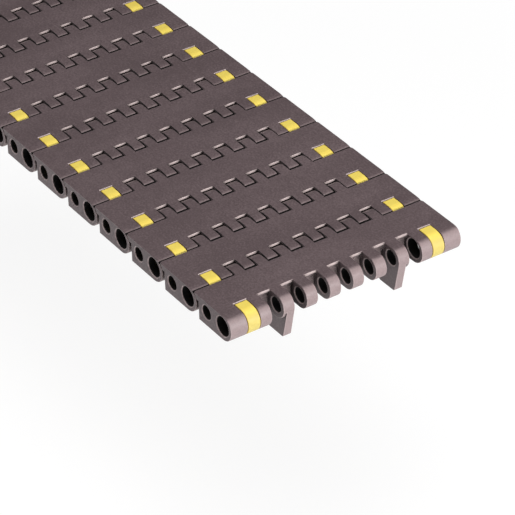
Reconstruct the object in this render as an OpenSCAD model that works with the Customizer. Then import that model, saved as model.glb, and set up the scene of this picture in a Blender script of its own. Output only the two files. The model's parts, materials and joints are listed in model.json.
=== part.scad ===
// Slat top chain, one straight length of flat top links moulded to width.
// +X is the running direction, Y runs across the chain and +Z is up.
// The origin is on the floor under the middle of the length, where the positioner tabs touch it.

/* [Chain] */
// Number of links in the length
link_count = 12; // [2:1:15]
// Distance between hinge axes
pitch = 19.05; // [19.05:0.05:26]
// Width over the side faces
chain_w = 85; // [84:0.5:90]

/* [Link section] */
// Height of the top face over the hinge axis
top_h = 3.9; // [3.8:0.05:4]
// Radius of the edge blocks about the hinge axis
nose_r = 4.8; // [4.7:0.05:4.9]
// Radius of the front knuckles about the hinge axis
knuckle_r = 4.35; // [4.25:0.05:4.4]
// Radius of the rear fingers about the hinge axis
finger_r = 4.45; // [4.4:0.05:4.5]
// Thickness of the top plate over the drive pockets
plate_t = 2; // [1.6:0.1:2.4]
// Gap between a round nose and the link that covers it
nose_gap = 0.3; // [0.25:0.05:0.4]

/* [Knuckles] */
// Number of narrow front knuckles
knuckle_count = 6; // [4:2:6]
// Distance between neighbouring knuckles
knuckle_pitch = 8.5; // [8.2:0.1:8.7]
// Width of a front knuckle
knuckle_w = 4; // [3.6:0.1:4.2]
// Side gap between a knuckle and a finger
side_gap = 0.25; // [0.15:0.01:0.3]

/* [Hinge pin] */
// Diameter of the hinge pin
pin_d = 4.85; // [4.7:0.05:4.9]
// Diameter of the pin bores in knuckles and fingers
bore_d = 5; // [5:0.05:5.1]
// Diameter of the access bores in the edge blocks
access_d = 6.5; // [6:0.1:7]

/* [Lock clip] */
// Distance from the edge of the chain to the clip slot
slot_inset = 6.1; // [5.8:0.1:6.3]
// Width of the clip slot
slot_w = 4.7; // [4.5:0.1:4.8]
// Distance of the clip barrel behind the hinge axis
barrel_back = 8.7; // [8.6:0.05:8.8]
// Radius of the clip barrel
barrel_r = 2.2; // [2:0.05:2.3]
// Diameter of the small hole in the side face
side_hole_d = 4.6; // [4.4:0.1:4.8]
// Side gap between the clip and its slot
clip_gap = 0.15; // [0.1:0.01:0.2]

/* [Positioner tab] */
// Depth of the tabs under the hinge axis
tab_drop = 11.5; // [10:0.1:12]
// Thickness of a tab
tab_t = 2.85; // [2.4:0.05:3.2]

/* [Hidden] */
$fn = 64;
eps = 0.01;
over = 1; // reach of a cut beyond the face it opens
half_w = chain_w / 2;
comb_w = (knuckle_count + 1) * knuckle_pitch - knuckle_w; // clear width between the two edge blocks
finger_w = knuckle_pitch - knuckle_w - 2 * side_gap;
block_in = comb_w / 2; // inner face of an edge block
slot_out = half_w - slot_inset;
slot_in = slot_out - slot_w;
block_rear = pitch - 6.1; // rear face of an edge block, behind the front axis
lip_end = 3.45; // how far the top lip stays in front of the rear axis
plate_end = 3.2; // the same for the plate over the knuckles
step_z = 1.8; // underside of the block's rear step
web_rear = 6.3; // pocket side of the cross web
web_foot = 5.8; // front of the web at its lower edge
seat_r = finger_r + nose_gap; // hollow in the web that the next finger turns in
seat_face = 0.55; // height of the upright face over the hollow
seat_edge = sqrt(pow(seat_r, 2) - pow(top_h - seat_face, 2)); // top edge of the hollow, behind the axis
edge_cut = 0.4; // chamfer on the top rear edge of the clip slot
corner_cut = 0.9; // rounding of the outer corners at the rear lip
rim_cut = 0.35; // chamfer on the bore rims
block_blend = 2; // rounding where the nose meets the top face
knuckle_blend = 1.5;
head_rear = 2.8; // rear of the clip head at the top
head_foot = 2; // rear of the clip head at the underside
slot_play = 0.25; // gap behind the clip head
slot_rear = head_rear + slot_play;
channel_z = 2.1; // ceiling of the channel for the clip's neck
neck_top = 1.8;
neck_foot = -0.8;
step_x = [-7.8, -5.6]; // thumb step under the neck
step_foot = -3.2;
step_inset = 0.4;
rear_wall = 0.6; // wall left behind the pocket for the clip's barrel
pocket_x = [rear_wall - block_rear, -6]; // rear and front end of that pocket
pocket_over = [1.6, 2.5]; // how far it reaches past the clip slot, inwards and outwards
pocket_y = [slot_in - pocket_over[0], slot_out + pocket_over[1]];
pocket_z = barrel_r + nose_gap;
journal_l = 0.9; // length of the clip's outer journal
spigot_d = 3.2; // inner journal of the clip
spigot_l = 1.2;
journal_gap = 0.15; // play of the journals in their holes, over the diameter
journal_d = side_hole_d - journal_gap;
spigot_hole_d = spigot_d + journal_gap;
end_gap = 0.3; // play at the end of a spigot and of the hinge pin
tab_front = 1.9; // front edge at the tip
tab_rear = [6.3, 9]; // rear edge at the tip and at the root
tab_cut = 0.6;
tab_reach = sqrt(pow(tab_front, 2) + pow(tab_drop, 2));
tab_turn = acos(knuckle_r / tab_reach) - atan2(tab_drop, tab_front); // where the tab leaves the knuckle
pin_l = 2 * (slot_in - end_gap);
front_x = (link_count * pitch + finger_r - nose_r) / 2; // front axis of the first link

LINKS = [for (i = [1:link_count]) str("link_", i)];
PINS = [for (i = [2:link_count]) str("hinge_pin_", i)];
CLIPS = [for (side = ["left", "right"], i = [1:link_count]) str("lock_clip_", side, "_", i)];

slat_color = "#6b5d60";
clip_color = "#f5e170";
steel_color = "#c8c9cc";

// Extrudes an outline drawn in X and Z across the chain, from y0 to y1.
module across(y0, y1) {
    translate([0, y1, 0]) rotate([90, 0, 0]) linear_extrude(y1 - y0) children();
}

// A round bar along Y about the point x, z, which may taper from d0 to d1.
module bar(x, z, y0, y1, d0, d1) {
    translate([x, y1, z]) rotate([90, 0, 0]) cylinder(h = y1 - y0, d1 = d1, d2 = d0);
}

module both_sides() {
    children();
    mirror([0, 1, 0]) children();
}

// Outline of a nose of radius r about the axis, level with the top face and open behind x = 0.
module nose_outline(r, blend) {
    blend_x = sqrt(pow(r - blend, 2) - pow(top_h - blend, 2));
    blend_top = (top_h - blend) * r / (r - blend);
    intersection() {
        circle(r);
        translate([-r, -r]) square([2 * r, r + blend_top]);
    }
    translate([blend_x, top_h - blend]) circle(blend);
    translate([-eps, 0]) square([blend_x + eps, top_h]);
}

// Side view of an edge block: nose, flat body, and the thin lip over the next nose.
module block_outline() {
    nose_outline(nose_r, block_blend);
    translate([-block_rear, -nose_r]) square([block_rear, nose_r + top_h]);
    difference() {
        translate([-(pitch - lip_end), step_z]) square([pitch - lip_end - block_rear + eps, top_h - step_z]);
        translate([-pitch, 0]) circle(nose_r + nose_gap);
    }
}

module knuckle_outline() {
    nose_outline(knuckle_r, knuckle_blend);
    translate([-web_rear, -knuckle_r]) square([web_rear, knuckle_r + top_h]);
}

module finger_outline() {
    translate([-pitch, 0]) intersection() {
        circle(finger_r);
        translate([-finger_r, -finger_r]) square([2 * finger_r, finger_r + top_h]);
    }
    translate([-pitch, -finger_r]) square([pitch - block_rear + eps, finger_r + top_h]);
    translate([-block_rear, -knuckle_r]) square([block_rear - (web_rear + web_foot) / 2, knuckle_r + top_h]);
}

// Top plate and cross web, with the hollow that the next finger turns in.
module plate_outline() {
    difference() {
        union() {
            translate([-(pitch - plate_end), top_h - plate_t]) square([pitch - plate_end, plate_t]);
            translate([-web_rear, -knuckle_r]) square([web_rear, knuckle_r + top_h]);
        }
        circle(seat_r);
        polygon([[-seat_r, 0], [-web_foot, -knuckle_r], [-web_foot, -2 * knuckle_r], [eps, -2 * knuckle_r],
                 [eps, 0]]);
        translate([-seat_edge, top_h - seat_face]) square([seat_edge + over, seat_face + over]);
        translate([-pitch, 0]) circle(knuckle_r + nose_gap);
    }
}

// Slot for the clip head, open at the top, front and underside, and the channel for its neck.
module slot_outline() {
    translate([-slot_rear, -2 * nose_r]) square([3 * nose_r, 4 * nose_r]);
    translate([pocket_x[1] - eps, -2 * nose_r]) square([-pocket_x[1], 2 * nose_r + channel_z]);
    polygon([[-slot_rear - eps, top_h - edge_cut - eps], [-slot_rear - edge_cut - 1, top_h + 1],
             [-slot_rear, top_h + 1]]);
}

module tab_outline() {
    polygon([[-tab_rear[1], top_h - plate_t + eps], [-tab_rear[1], -knuckle_r],
             [-tab_rear[0] - tab_cut / 2, tab_cut - tab_drop], [tab_cut - tab_rear[0], -tab_drop],
             [tab_front - tab_cut, -tab_drop], [tab_front - tab_cut * tan(tab_turn), tab_cut - tab_drop],
             [knuckle_r * cos(tab_turn), knuckle_r * sin(tab_turn)], [0, 0], [-web_rear + eps, 0],
             [-web_rear + eps, top_h - plate_t + eps]]);
}

module clip_outline() {
    intersection() {
        nose_outline(nose_r, block_blend);
        translate([0, -2 * nose_r]) square([2 * nose_r, 4 * nose_r]);
    }
    polygon([[eps, top_h], [-head_rear, top_h], [-head_rear, neck_foot], [-head_foot, -nose_r],
             [eps, -nose_r]]);
    translate([-barrel_back, neck_foot]) square([barrel_back - head_rear + eps, neck_top - neck_foot]);
}

module step_outline() {
    translate([step_x[0], step_foot]) square([step_x[1] - step_x[0], neck_foot - step_foot + eps]);
}

// Bore through an edge wall, with a chamfered rim on each face.
module rimmed_bore(x, y0, y1, d) {
    bar(x, 0, y0 - eps, y1 + eps, d, d);
    bar(x, 0, y1 - rim_cut, y1 + eps, d, d + 2 * rim_cut);
    bar(x, 0, y0 - eps, y0 + rim_cut, d + 2 * rim_cut, d);
}

// Cuts an upright corner round, for a corner that points to -X and +Y.
module corner_round() {
    translate([0, 0, -2 * nose_r]) linear_extrude(4 * nose_r) difference() {
        translate([-over, -corner_cut]) square([over + corner_cut, over + corner_cut]);
        translate([corner_cut, -corner_cut]) circle(corner_cut);
    }
}

module edge_block() {
    difference() {
        across(block_in, half_w) block_outline();
        across(slot_in, slot_out) slot_outline();
        across(pocket_y[0], pocket_y[1]) translate([pocket_x[0], -2 * nose_r])
            square([pocket_x[1] - pocket_x[0], 2 * nose_r + pocket_z]);
        translate([lip_end - pitch, half_w, 0]) corner_round();
        rimmed_bore(0, slot_out, half_w, access_d);
        rimmed_bore(0, block_in, slot_in, access_d);
        rimmed_bore(-barrel_back, pocket_y[1], half_w, side_hole_d);
        bar(-barrel_back, 0, pocket_y[0] - spigot_l - end_gap, pocket_y[0] + eps,
            spigot_hole_d, spigot_hole_d);
    }
}

function knuckle_y(i) = (i - (knuckle_count - 1) / 2) * knuckle_pitch - knuckle_w / 2;
function finger_y(i) = (i - knuckle_count / 2) * knuckle_pitch - finger_w / 2;

// Comb of front knuckles and rear fingers under the top plate.
module comb() {
    difference() {
        union() {
            across(-block_in - eps, block_in + eps) plate_outline();
            for (i = [0:knuckle_count - 1]) across(knuckle_y(i), knuckle_y(i) + knuckle_w) knuckle_outline();
            for (i = [0:knuckle_count]) across(finger_y(i), finger_y(i) + finger_w) finger_outline();
            both_sides() {
                across(finger_y(knuckle_count) + finger_w / 2, block_in + eps)
                    translate([-block_rear, -knuckle_r])
                    square([block_rear - web_foot - eps, knuckle_r + top_h]);
                across(knuckle_y(knuckle_count - 1), knuckle_y(knuckle_count - 1) + tab_t) tab_outline();
            }
        }
        bar(0, 0, -block_in - over, block_in + over, bore_d, bore_d);
        bar(-pitch, 0, -block_in - over, block_in + over, bore_d, bore_d);
        for (i = [0:knuckle_count - 1]) translate([0, knuckle_y(i), 0]) {
            bar(0, 0, -eps, rim_cut, bore_d + 2 * rim_cut, bore_d);
            bar(0, 0, knuckle_w - rim_cut, knuckle_w + eps, bore_d, bore_d + 2 * rim_cut);
        }
    }
}

function link_x(i) = front_x - (i - 1) * pitch;

module at_link(i) {
    translate([link_x(i), 0, tab_drop]) children();
}

module link(i) {
    color(slat_color) at_link(i) {
        comb();
        both_sides() edge_block();
    }
}

module hinge_pin(i) {
    color(steel_color) at_link(i) {
        bar(0, 0, -pin_l / 2 + rim_cut, pin_l / 2 - rim_cut, pin_d, pin_d);
        both_sides() bar(0, 0, pin_l / 2 - rim_cut - eps, pin_l / 2, pin_d, pin_d - 2 * rim_cut);
    }
}

// Lock clip on the +Y side: head in the slot, neck, barrel in the pocket and a journal at each end.
module lock_clip(i) {
    color(clip_color) at_link(i) {
        across(slot_in + clip_gap, slot_out - clip_gap) clip_outline();
        across(slot_in + clip_gap + step_inset, slot_out - clip_gap - step_inset) step_outline();
        bar(-barrel_back, 0, pocket_y[0] + clip_gap, pocket_y[1] - clip_gap, 2 * barrel_r, 2 * barrel_r);
        bar(-barrel_back, 0, pocket_y[1] - over, pocket_y[1] + journal_l, journal_d, journal_d);
        bar(-barrel_back, 0, pocket_y[0] - spigot_l, pocket_y[0] + over, spigot_d, spigot_d);
    }
}

for (i = [1:link_count]) link(i);
for (i = [2:link_count]) hinge_pin(i);
for (i = [1:link_count]) lock_clip(i);
for (i = [1:link_count]) mirror([0, 1, 0]) lock_clip(i);
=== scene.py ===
import json
import math

import bmesh
import bpy
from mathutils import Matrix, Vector


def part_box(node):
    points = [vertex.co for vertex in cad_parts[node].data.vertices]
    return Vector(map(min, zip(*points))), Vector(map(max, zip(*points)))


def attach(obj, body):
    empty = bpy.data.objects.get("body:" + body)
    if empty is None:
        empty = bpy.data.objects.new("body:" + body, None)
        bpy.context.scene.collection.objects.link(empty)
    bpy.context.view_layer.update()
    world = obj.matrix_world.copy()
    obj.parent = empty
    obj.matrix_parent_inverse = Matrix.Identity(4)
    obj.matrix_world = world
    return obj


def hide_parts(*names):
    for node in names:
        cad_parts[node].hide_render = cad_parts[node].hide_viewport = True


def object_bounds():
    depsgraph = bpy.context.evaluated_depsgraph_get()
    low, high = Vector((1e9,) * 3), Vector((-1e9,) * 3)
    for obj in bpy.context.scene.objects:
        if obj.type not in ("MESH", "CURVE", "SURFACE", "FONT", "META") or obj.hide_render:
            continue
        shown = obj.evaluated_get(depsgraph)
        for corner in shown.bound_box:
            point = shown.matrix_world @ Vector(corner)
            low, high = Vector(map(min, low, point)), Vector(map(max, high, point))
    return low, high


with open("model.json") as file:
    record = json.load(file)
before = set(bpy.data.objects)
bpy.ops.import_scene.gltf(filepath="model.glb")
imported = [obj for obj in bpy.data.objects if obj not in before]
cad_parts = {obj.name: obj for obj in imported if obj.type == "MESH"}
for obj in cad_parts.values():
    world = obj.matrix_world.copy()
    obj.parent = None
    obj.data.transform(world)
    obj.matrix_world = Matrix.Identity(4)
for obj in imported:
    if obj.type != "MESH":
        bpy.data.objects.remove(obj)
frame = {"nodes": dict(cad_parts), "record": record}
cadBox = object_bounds()
record = frame["record"]
mm = 0.001
frontHinge = next(mount["pos_m"] for mount in record["mounts"] if mount["name"] == "front_knuckle_bores")
nextHinge = next(joint["pos_m"] for joint in record["behaviour"]["joints"] if joint["name"] == "hinge_2")
pitch = frontHinge[0] - nextHinge[0]
topFace = cadBox[1][2]
print("frame loaded:", len(frame["nodes"]), "nodes")


class Wire:  # one socket of a shader tree, usable in plain arithmetic
    def __init__(self, finish, socket):
        self.finish = finish
        self.socket = socket

    def math(self, operation, other=None, swap=False):
        values = [self, other] if not swap else [other, self]
        inputs = {place: value for place, value in enumerate(values) if value is not None}
        return self.finish.node("ShaderNodeMath", {"operation": operation}, inputs)

    def __add__(self, other):
        return self.math("ADD", other)

    def __radd__(self, other):
        return self.math("ADD", other, True)

    def __sub__(self, other):
        return self.math("SUBTRACT", other)

    def __rsub__(self, other):
        return self.math("SUBTRACT", other, True)

    def __mul__(self, other):
        return self.math("MULTIPLY", other)

    def __rmul__(self, other):
        return self.math("MULTIPLY", other, True)

    def __truediv__(self, other):
        return self.math("DIVIDE", other)

    def __rtruediv__(self, other):
        return self.math("DIVIDE", other, True)

    def within(self, low, high, soft):  # 1 between the two limits, 0 outside them
        return self.ramp(low - soft, low) * (1.0 - self.ramp(high, high + soft))

    def clamp(self, low=0.0, high=1.0):
        return self.math("MAXIMUM", low).math("MINIMUM", high)

    def ramp(self, start, end):  # 0 at start, 1 at end, straight between
        return ((self - start) / (end - start)).clamp()


class Finish:  # the node tree of a material or of the world
    def __init__(self, owner):
        self.owner = owner
        owner.use_nodes = True
        self.tree = owner.node_tree
        self.tree.nodes.clear()

    def node(self, kind, settings=None, inputs=None, output=0):
        made = self.tree.nodes.new(kind)
        for key, value in (settings or {}).items():
            setattr(made, key, value)
        for key, value in (inputs or {}).items():
            if isinstance(value, Wire):
                self.tree.links.new(value.socket, made.inputs[key])
            else:
                made.inputs[key].default_value = value
        return Wire(self, made.outputs[output]) if len(made.outputs) else made

    def place(self):  # the point on the piece, in metres
        return self.node("ShaderNodeTexCoord", None, None, "Object")

    def facing(self):  # the way the surface faces, riding with the piece
        return self.node("ShaderNodeTexCoord", None, None, "Normal")

    def noise(self, place, scale, detail=2.0, roughness=0.5):
        inputs = {"Vector": place, "Scale": scale, "Detail": detail, "Roughness": roughness}
        return self.node("ShaderNodeTexNoise", None, inputs)

    def mix(self, factor, first, second):  # 6 and 7 are the colour sockets of Mix, 2 is its colour result
        inputs = {0: factor, 6: first, 7: second}
        return self.node("ShaderNodeMix", {"data_type": "RGBA"}, inputs, 2)

    def parts(self, vector):  # x, y and z of a vector
        split = self.node("ShaderNodeSeparateXYZ", None, {0: vector})
        return [Wire(self, output) for output in split.socket.node.outputs]

    def stretch(self, place, factors):
        return self.node("ShaderNodeVectorMath", {"operation": "MULTIPLY"}, {0: place, 1: factors})

    def bump(self, height, strength, depth):
        inputs = {"Strength": strength, "Distance": depth, "Height": height}
        return self.node("ShaderNodeBump", None, inputs)

    def edges(self):  # 1 on the rounded edges, 0 on the faces between them
        return self.node("ShaderNodeAttribute", {"attribute_name": "edge"}, None, "Fac")

    def open(self, reach):  # 1 on open faces, falling to 0 down in bores and gaps
        return self.node("ShaderNodeAmbientOcclusion", {"samples": 4}, {"Distance": reach}, "AO")

    def surface(self, shader, kind="ShaderNodeOutputMaterial"):
        self.node(kind, None, {"Surface": shader})
        return self.owner


def srgb(red, green, blue):
    def linear(value):
        value = value / 255
        return value / 12.92 if value <= 0.04045 else ((value + 0.055) / 1.055) ** 2.4
    return (linear(red), linear(green), linear(blue), 1.0)


comb = {
    "block": 27.7 * mm,       # the comb ends at the edge blocks, this far from the middle
    "knuckle": (4.35 * mm, 1.5 * mm, 0.5),   # radius about the hinge axis, blend into the top face, crown
    "finger": (4.45 * mm, 0.0, 1.0),
    "nose": (4.8 * mm, 2.0 * mm, 0.35),      # front of an edge block
    "clip": (4.8 * mm, 2.0 * mm, 0.8),
    "crowned": (0.8, 0.2),    # share of the height where the crown sets in, and over which it grows
    "cuts": (0.0, 0.5 * mm, 1.0 * mm, 1.5 * mm, 2.0 * mm),     # ahead of and behind an axis, for the crown
    "across": (3.0 * mm, 4.6 * mm, 8.7 * mm, 11.0 * mm),       # behind the axis, so that no face is large
    "spacing": 4.25 * mm,     # from the middle of a knuckle to the middle of a finger
    "sides": 6,               # knuckle and finger middles on each side of the middle line
    "seat": (3.367 * mm, 4.75 * mm),    # upright face behind the axis, radius of the hollow under it
    "seatDepth": 0.9 * mm,
    "seatSlack": 0.03 * mm,   # how far from its radius a point still counts as in the hollow
    "thin": 0.05 * mm,        # under this height the crown keeps its last ratio
    "snap": 1e-6,
}


slat = {
    "color": srgb(90, 76, 78),
    "pale": srgb(120, 104, 106),  # where the melt ran thin
    "end": srgb(143, 126, 126),   # painted highlight: noses and tab ends that face along the chain, paler as if lit from the front
    "edge": srgb(186, 168, 167),  # rounded edges, paler: partly rubbed wear, partly painted highlight
    "seat": srgb(186, 170, 168),  # painted light: upright faces behind the fingers, bright as if lit
    "black": srgb(3, 2, 2),       # painted shade down in the bores and seams
    "roughness": 0.46,
    "specular": 0.4,
    "flow": 60.0,                 # noise scales, per metre, from the broad streaks to the grain
    "cloud": 260.0,
    "scuff": 900.0,
    "grain": 1500.0,
    "grainBump": (0.6, 0.1 * mm),
    "recess": 14.0 * mm,          # how far round a point the deep hollows are felt, for the painted shade in them
    "seam": 1.4 * mm,             # the same for the narrow seams
    "boreRadius": (2.5 * mm, 3.25 * mm),   # in the comb and in the edge blocks
    "holeRadius": 2.3 * mm,       # the small hole in the side face
    "holeBack": 8.7 * mm,         # and how far it lies behind a hinge axis
    "wall": (0.02 * mm, 0.08 * mm),        # outside a bore, where the painted shade inside it fades out
    "rim": (0.08 * mm, 0.35 * mm),         # outside a bore, the ring painted pale: painted highlight, mottled like wear
    "rimSoft": 0.05 * mm,
    "line": (2.2 * mm, 2.75 * mm),         # ahead of an axis, the painted shadow line along the noses
    "lineSoft": 0.12 * mm,
    "lineShift": 0.55 * mm,       # it lies this much further ahead on the edge blocks
    "lineTop": (0.08 * mm, 0.16 * mm),     # it fades in and out at these depths under the top
    "lineFoot": (1.5 * mm, 1.8 * mm),
    "lineEnd": 1.0 * mm,          # it ends this far ahead of the open front hinge
    "grooveEnd": (4.2 * mm, 3.4 * mm),     # behind the open front hinge, where the painted shade on the comb edges ends
    "upward": (0.2, 0.4),         # how far a face turns up before these lines show on it
    "shine": (3.9 * mm, 2.7 * mm),         # behind an axis, the upright faces with painted light
    "shineSoft": 0.1 * mm,
    "shineFoot": (0.75 * mm, 0.95 * mm),   # and the depths where they end
}


def onBlock(y):  # 1 on the edge blocks, 0 on the comb between them
    return y.math("ABSOLUTE").math("GREATER_THAN", comb["block"])


def boreMasks(x, y, z):  # distance ahead of a hinge axis, and masks for the painted shade on the bore walls and the painted highlight on their rims
    ahead = ((x - frontHinge[0]) / pitch).math("FRACT") * pitch
    near = (ahead + pitch / 2).math("MODULO", pitch) - pitch / 2
    high = z - frontHinge[2]
    radius = (near * near + high * high).math("SQRT")
    combBore, blockBore = slat["boreRadius"]
    bore = combBore + onBlock(y) * (blockBore - combBore)
    back = ahead - (pitch - slat["holeBack"])
    hole = (back * back + high * high).math("SQRT") - slat["holeRadius"]
    out = (radius - bore).math("MINIMUM", hole)   # distance outside the nearest wall
    wall = 1.0 - out.ramp(*slat["wall"])
    rim = out.within(*slat["rim"], slat["rimSoft"])
    return ahead, wall, rim


def noseShadowLine(x, y, ahead, depth, up):  # 1 low on the noses, where a painted shadow line stands for the gap under the link ahead
    band = (ahead - onBlock(y) * slat["lineShift"]).within(*slat["line"], slat["lineSoft"])
    low = depth.ramp(*slat["lineTop"]) * (1.0 - depth.ramp(*slat["lineFoot"]))
    covered = 1.0 - x.ramp(frontHinge[0], frontHinge[0] + slat["lineEnd"])
    return band * low * covered * up.ramp(*slat["upward"])


def combShadowLines(x, y, up, edge):  # 1 on the rounded top edges along the sides of knuckles and fingers, painted dark as shade in the gaps
    start, end = slat["grooveEnd"]
    covered = 1.0 - x.ramp(frontHinge[0] - start, frontHinge[0] - end)
    return edge * (1.0 - onBlock(y)) * covered * up.ramp(*slat["upward"])


def seatShine(ahead, depth, along):  # 1 on the upright faces at the back of the notches, painted bright as light
    start, end = slat["shine"]
    seat = ahead.within(pitch - start, pitch - end, slat["shineSoft"])
    return seat * (1.0 - depth.ramp(*slat["shineFoot"])) * along.ramp(0.3, 0.6)


def makeSlatPlastic():
    finish = Finish(bpy.data.materials.new("slat_plastic"))
    place = finish.place()
    x, y, z = finish.parts(place)
    depth = topFace - z
    ahead, wall, rim = boreMasks(x, y, z)
    along, _, up = finish.parts(finish.facing())
    flow = finish.noise(finish.stretch(place, (1.0, 0.35, 1.0)), slat["flow"], 3.0)
    cloud = finish.noise(place, slat["cloud"], 4.0)
    grain = finish.noise(place, slat["grain"], 3.0, 0.7)   # eroded mould texture
    scuff = finish.noise(place, slat["scuff"], 3.0).ramp(0.35, 0.65)
    mottle = flow.ramp(0.35, 0.7) * 0.4 + cloud.ramp(0.3, 0.7) * 0.2 + (grain - 0.5) * 3.0
    body = finish.mix(mottle.clamp(), slat["color"], slat["pale"])
    # painted highlight: faces turned along the chain are mixed toward the paler end colour
    ends = along.math("ABSOLUTE").ramp(0.1, 0.6) * (0.9 + (grain - 0.5) * 0.6)
    body = finish.mix(ends, body, slat["end"])
    shine = seatShine(ahead, depth, along)
    # painted shade: ambient occlusion, the bore walls and the nose and comb lines darken the colour toward
    # near black
    deep = (1.0 - finish.open(slat["recess"])).ramp(0.5, 0.8)
    seam = (1.0 - finish.open(slat["seam"])).ramp(0.3, 0.65)
    edge = finish.edges()
    paintedShade = deep.math("MAXIMUM", seam).math("MAXIMUM", noseShadowLine(x, y, ahead, depth, up))
    paintedShade = paintedShade.math("MAXIMUM", combShadowLines(x, y, up, edge) * (1.0 - along.math("ABSOLUTE")))
    paintedShade = (paintedShade * (1.0 - rim * 0.7)).math("MAXIMUM", wall) * (1.0 - shine)
    # edges and bore rims painted paler: partly wear, partly painted highlight
    wearAndHighlight = (edge * (1.0 - up.ramp(0.2, 0.5))).math("MAXIMUM", rim * 1.5) * (0.25 + scuff * 0.4)
    withPaintedLight = finish.mix(shine, finish.mix(wearAndHighlight.clamp(), body, slat["edge"]), slat["seat"])
    color = finish.mix(paintedShade, withPaintedLight, slat["black"])
    roughness = slat["roughness"] + (cloud - 0.5) * 0.10 + (grain - 0.5) * 0.2 + paintedShade * 0.45
    shader = finish.node("ShaderNodeBsdfPrincipled", None, {
        "Base Color": color, "Roughness": roughness.clamp(), "Normal": finish.bump(grain, *slat["grainBump"]),
        "IOR": 1.5, "Specular IOR Level": slat["specular"]})
    return finish.surface(shader)


clip = {
    "color": srgb(247, 224, 108),
    "deep": srgb(241, 214, 96),
    "end": srgb(200, 182, 100),    # the nose, darkened as painted shade against the front light
    "edge": srgb(186, 148, 62),    # painted shade: brown line where the clip meets its slot
    "shade": srgb(96, 70, 24),     # painted shade down in the slots
    "roughness": 0.45,
    "specular": 0.3,
    "cloud": 300.0,                # noise scales, per metre
    "grain": 1700.0,
    "grainBump": (0.3, 0.06 * mm),
    "seam": 1.2 * mm,              # how far round a point the slot is felt
}


def makeClipPlastic():
    finish = Finish(bpy.data.materials.new("clip_plastic"))
    place = finish.place()
    cloud = finish.noise(place, clip["cloud"], 3.0)
    grain = finish.noise(place, clip["grain"], 3.0, 0.7)
    mottle = cloud.ramp(0.3, 0.7) * 0.6 + (grain - 0.5) * 1.6 + 0.2
    body = finish.mix(mottle.clamp(), clip["deep"], clip["color"])
    along, _, _ = finish.parts(finish.facing())
    # painted shade: the forward-facing nose is darkened against the front light
    body = finish.mix(along.ramp(0.3, 0.8), body, clip["end"])
    # painted shade: a brown line on the rounded edges, for the seam shadow
    withPaintedLight = finish.mix(finish.edges() * 0.6, body, clip["edge"])
    # painted shade: ambient occlusion darkens the clip down in its slot
    paintedShade = (1.0 - finish.open(clip["seam"])).ramp(0.25, 0.6)
    color = finish.mix(paintedShade * 0.8, withPaintedLight, clip["shade"])
    roughness = clip["roughness"] + (grain - 0.5) * 0.2
    shader = finish.node("ShaderNodeBsdfPrincipled", None, {
        "Base Color": color, "Roughness": roughness, "Normal": finish.bump(grain, *clip["grainBump"]),
        "IOR": 1.5, "Specular IOR Level": clip["specular"]})
    return finish.surface(shader)


pin = {
    "color": srgb(190, 190, 194),
    "dull": srgb(160, 160, 166),
    "roughness": 0.3,
    "drawn": 900.0,    # noise scales, per metre, of the drawing marks and the dull spots
    "spots": 500.0,
    "bump": (0.25, 0.02 * mm),
}


def makePinSteel():
    finish = Finish(bpy.data.materials.new("pin_steel"))
    place = finish.place()
    drawn = finish.noise(finish.stretch(place, (6.0, 0.25, 6.0)), pin["drawn"], 3.0)  # long, along the bar
    spots = finish.noise(place, pin["spots"], 3.0)
    dull = drawn.ramp(0.35, 0.65) * 0.6 + spots.ramp(0.4, 0.7) * 0.3
    color = finish.mix(dull, pin["color"], pin["dull"])
    roughness = pin["roughness"] + (drawn - 0.5) * 0.25
    shader = finish.node("ShaderNodeBsdfPrincipled", None, {
        "Base Color": color, "Roughness": roughness, "Normal": finish.bump(drawn, *pin["bump"]),
        "Metallic": 1.0})
    return finish.surface(shader)


finishOf = {"slat": makeSlatPlastic(), "clip": makeClipPlastic(), "pin": makePinSteel()}
print("finishes made:", ", ".join(finishOf))


def crownHeight(reach, blend, crown, away):  # height of the plain top this far from the axis, and what stays
    top = topFace - frontHinge[2]
    start = math.sqrt((reach - blend) ** 2 - (top - blend) ** 2)
    if away <= start:
        flat = top
    elif away <= start * reach / (reach - blend):
        flat = top - blend + math.sqrt(blend ** 2 - (away - start) ** 2)
    else:
        flat = math.sqrt(max(reach ** 2 - away ** 2, 0.0))
    rounded = top * math.sqrt(max(1.0 - (away / reach) ** 2, 0.0))
    ratio = rounded / flat if flat > comb["thin"] else top / reach
    return flat, 1.0 - crown * (1.0 - ratio)


def cut(shape, point, normal, lowest=None):  # along a plane, through every face or those above a height
    faces = [face for face in shape.faces if lowest is None or min(vert.co.z for vert in face.verts) > lowest]
    parts = {part for face in faces for part in (face, *face.edges, *face.verts)}
    bmesh.ops.bisect_plane(shape, geom=list(parts), dist=comb["snap"], plane_co=point, plane_no=normal)


def cutComb(shape, front, slot):  # gives the tops points to curve by, and splits the large faces
    cut(shape, (0, 0, frontHinge[2]), (0, 0, 1))
    for step in comb["cuts"]:
        for place in (front + step, front - pitch - step):
            cut(shape, (place, 0, 0), (1, 0, 0), frontHinge[2] - 1e-5)
    if slot == "slat":
        for step in comb["across"]:
            cut(shape, (front - step, 0, 0), (1, 0, 0))
        for step in range(-comb["sides"], comb["sides"] + 1):
            cut(shape, (0, step * comb["spacing"], 0), (0, 1, 0))


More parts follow.
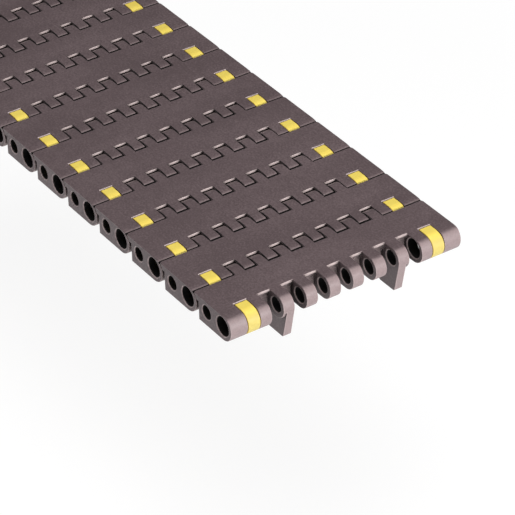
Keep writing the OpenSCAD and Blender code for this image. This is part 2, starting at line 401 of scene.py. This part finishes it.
def deepenSeats(shape, front):  # carries the upright faces behind the fingers further down
    seat, hollow = comb["seat"]
    foot = topFace - comb["seatDepth"]

    def inHollow(vert):
        back, high = front - vert.co.x, vert.co.z - frontHinge[2]
        return back > 0 and high > 0 and abs(math.hypot(back, high) - hollow) < comb["seatSlack"]

    walls = [face for face in shape.faces if all(inHollow(vert) for vert in face.verts)]
    edges = {edge for face in walls for edge in face.edges}
    verts = {vert for face in walls for vert in face.verts}
    made = bmesh.ops.bisect_plane(shape, geom=walls + list(edges) + list(verts), dist=comb["snap"],
                                  plane_co=(0, 0, foot), plane_no=(0, 0, 1))
    verts.update(part for part in made["geom_cut"] if isinstance(part, bmesh.types.BMVert))
    for vert in verts:
        if vert.co.z > foot - comb["snap"]:
            vert.co.x = front - seat


def crownTops(shape, front, slot):  # knuckles, fingers and clips curve down from their hinge axis on
    rear = front - pitch
    setIn, growth = comb["crowned"]
    for vert in shape.verts:
        high = vert.co.z - frontHinge[2]
        ahead = "clip" if slot == "clip" else "knuckle" if abs(vert.co.y) < comb["block"] else "nose"
        if high <= 0:
            continue
        for away, kind in ((vert.co.x - front, ahead), (rear - vert.co.x, "finger")):
            if away > 0:
                flat, ratio = crownHeight(*comb[kind], away)
                share = min(max((high / max(flat, comb["snap"]) - setIn) / growth, 0.0), 1.0)
                vert.co.z -= high * share * (1.0 - ratio)


moulding = {
    "radius": 0.22 * mm,   # rounding that the mould leaves on every outer edge
    "segments": 3,
    "corner": 50.0,        # faces that turn more than this many degrees share such an edge
    "level": 0.5,          # faces that turn less than this many degrees become one
    "weld": 0.02 * mm,
}


def roundEdges(name, slot):  # the node's own mesh with its outer edges rounded, never outside its box
    low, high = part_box(name)
    front = high[0] - (cadBox[1][0] - frontHinge[0])
    shape = bmesh.new()
    shape.from_mesh(frame["nodes"][name].data)
    bmesh.ops.remove_doubles(shape, verts=shape.verts[:], dist=moulding["weld"])
    bmesh.ops.dissolve_degenerate(shape, edges=shape.edges[:], dist=moulding["weld"])
    bmesh.ops.dissolve_limit(shape, verts=shape.verts[:], edges=shape.edges[:],
                             angle_limit=math.radians(moulding["level"]))
    cutComb(shape, front, slot)
    deepenSeats(shape, front)
    crownTops(shape, front, slot)
    corner = math.radians(moulding["corner"])
    outer = [edge for edge in shape.edges if edge.is_convex and edge.calc_face_angle(0.0) > corner]
    onEdge = shape.faces.layers.float.new("edge")
    rounded = bmesh.ops.bevel(shape, geom=outer, offset=moulding["radius"], offset_type="OFFSET",
                              segments=moulding["segments"], profile=0.5, affect="EDGES", clamp_overlap=False)
    for face in rounded["faces"]:
        face[onEdge] = 1.0
    for vert in shape.verts:
        vert.co = [min(max(value, least), most) for value, least, most in zip(vert.co, low, high)]
    mesh = bpy.data.meshes.new(name + "_moulding")
    shape.to_mesh(mesh)
    shape.free()
    mesh.shade_smooth()
    mesh.set_sharp_from_angle(angle=corner)
    return mesh


def makeMoulding(name, body, slot):  # stands for a moulded node, with real rounded edges
    piece = bpy.data.objects.new(name + "_moulding", roundEdges(name, slot))
    bpy.context.collection.objects.link(piece)
    flats = piece.modifiers.new("flats", "WEIGHTED_NORMAL")
    flats.keep_sharp = True
    piece.data.materials.append(finishOf[slot])
    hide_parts(name)
    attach(piece, body)


slotOf = {part["node"]: part["material_slot"] for part in record["subparts"]}
for body, names in record["behaviour"]["bodies"].items():
    for name in names:
        slot = slotOf[name]
        if slot == "pin":
            for place in frame["nodes"][name].material_slots:
                place.material = finishOf[slot]
        else:
            makeMoulding(name, body, slot)
print("links and clips rounded, pins finished")


studio = {
    "paper": (1.0, 1.0, 1.0, 1.0),
    "floorColor": (0.86, 0.86, 0.86, 1.0),
    "floorDrop": 95 * mm,   # the floor lies this far under the tabs, clear of a fully curled chain
    "floorSize": 6.0,
    "floorGrid": 8,
    "worldStrength": 0.15,
    "shadowDepth": 0.25,    # how much of the floor's real shading the camera sees
    "fade": (0.25, 0.9),    # over this distance from the chain the floor turns to plain white
    "white": 1.1,           # lifts the rest to white where no shadow falls
}


def makeFloor():
    bpy.ops.mesh.primitive_grid_add(x_subdivisions=studio["floorGrid"], y_subdivisions=studio["floorGrid"],
                                    size=studio["floorSize"], location=(0, 0, -studio["floorDrop"]))
    floor = bpy.context.object
    floor.name = "studio_floor"
    finish = Finish(bpy.data.materials.new("studio_floor"))
    paint = finish.node("ShaderNodeBsdfDiffuse", None, {"Color": studio["floorColor"]})
    white = finish.node("ShaderNodeEmission", None, {"Color": studio["paper"], "Strength": studio["white"]})
    seen = finish.node("ShaderNodeLightPath", None, None, "Is Camera Ray")
    glossy = finish.node("ShaderNodeLightPath", None, None, "Is Glossy Ray")
    through = finish.node("ShaderNodeLightPath", None, None, "Is Transmission Ray")
    x, y, _ = finish.parts(finish.place())
    near = 1.0 - (x * x + y * y).math("SQRT").ramp(*studio["fade"])
    share = seen.math("MAXIMUM", glossy).math("MAXIMUM", through) * (1.0 - near * studio["shadowDepth"])
    shader = finish.node("ShaderNodeMixShader", None, {0: share, 1: paint, 2: white})
    floor.data.materials.append(finish.surface(shader))


def makeWorld():  # a weak even light that the camera sees as white
    finish = Finish(bpy.data.worlds.new("studio_world"))
    light = {"Color": studio["paper"], "Strength": studio["worldStrength"]}
    light = finish.node("ShaderNodeBackground", None, light)
    white = finish.node("ShaderNodeBackground", None, {"Color": studio["paper"], "Strength": 1.0})
    seen = finish.node("ShaderNodeLightPath", None, None, "Is Camera Ray")
    shader = finish.node("ShaderNodeMixShader", None, {0: seen, 1: light, 2: white})
    bpy.context.scene.world = finish.surface(shader, "ShaderNodeOutputWorld")


lamps = {  # where each soft box stands, its size in metres and its power in watts
    "key_front": {"at": (1.12, 0.14, 0.36), "size": (0.5, 0.3), "power": 13.5},
    "over_top": {"at": (0.15, -0.15, 1.35), "size": (1.0, 1.0), "power": 9.2},
    "far_side": {"at": (-0.75, -1.0, 0.30), "size": (1.0, 0.6), "power": 2.7},
}


def makeLamps():  # each one faces the middle of the chain
    for name, values in lamps.items():
        light = bpy.data.lights.new(name, "AREA")
        light.shape = "RECTANGLE"
        light.size, light.size_y = values["size"]
        light.energy = values["power"]
        lamp = bpy.data.objects.new(name, light)
        bpy.context.collection.objects.link(lamp)
        lamp.location = values["at"]
        lamp.rotation_euler = (-Vector(values["at"])).to_track_quat("-Z", "Y").to_euler()


camera = {
    "fromFrontHinge": (651.07 * mm, -451.23 * mm, 551.97 * mm),
    "turn": (55.532, 1.358, 56.123),
    "lens": 222.5,
    "sensor": 36.0,
    "clip": (0.01, 20.0),
}


def makeCamera():
    data = bpy.data.cameras.new("camera")
    data.lens = camera["lens"]
    data.sensor_width = camera["sensor"]
    data.clip_start, data.clip_end = camera["clip"]
    eye = bpy.data.objects.new("camera", data)
    bpy.context.collection.objects.link(eye)
    eye.location = Vector(frontHinge) + Vector(camera["fromFrontHinge"])
    eye.rotation_euler = [math.radians(angle) for angle in camera["turn"]]
    bpy.context.scene.camera = eye


makeFloor()
makeWorld()
makeLamps()
makeCamera()
bpy.context.scene.view_settings.view_transform = "Standard"
print("studio ready")
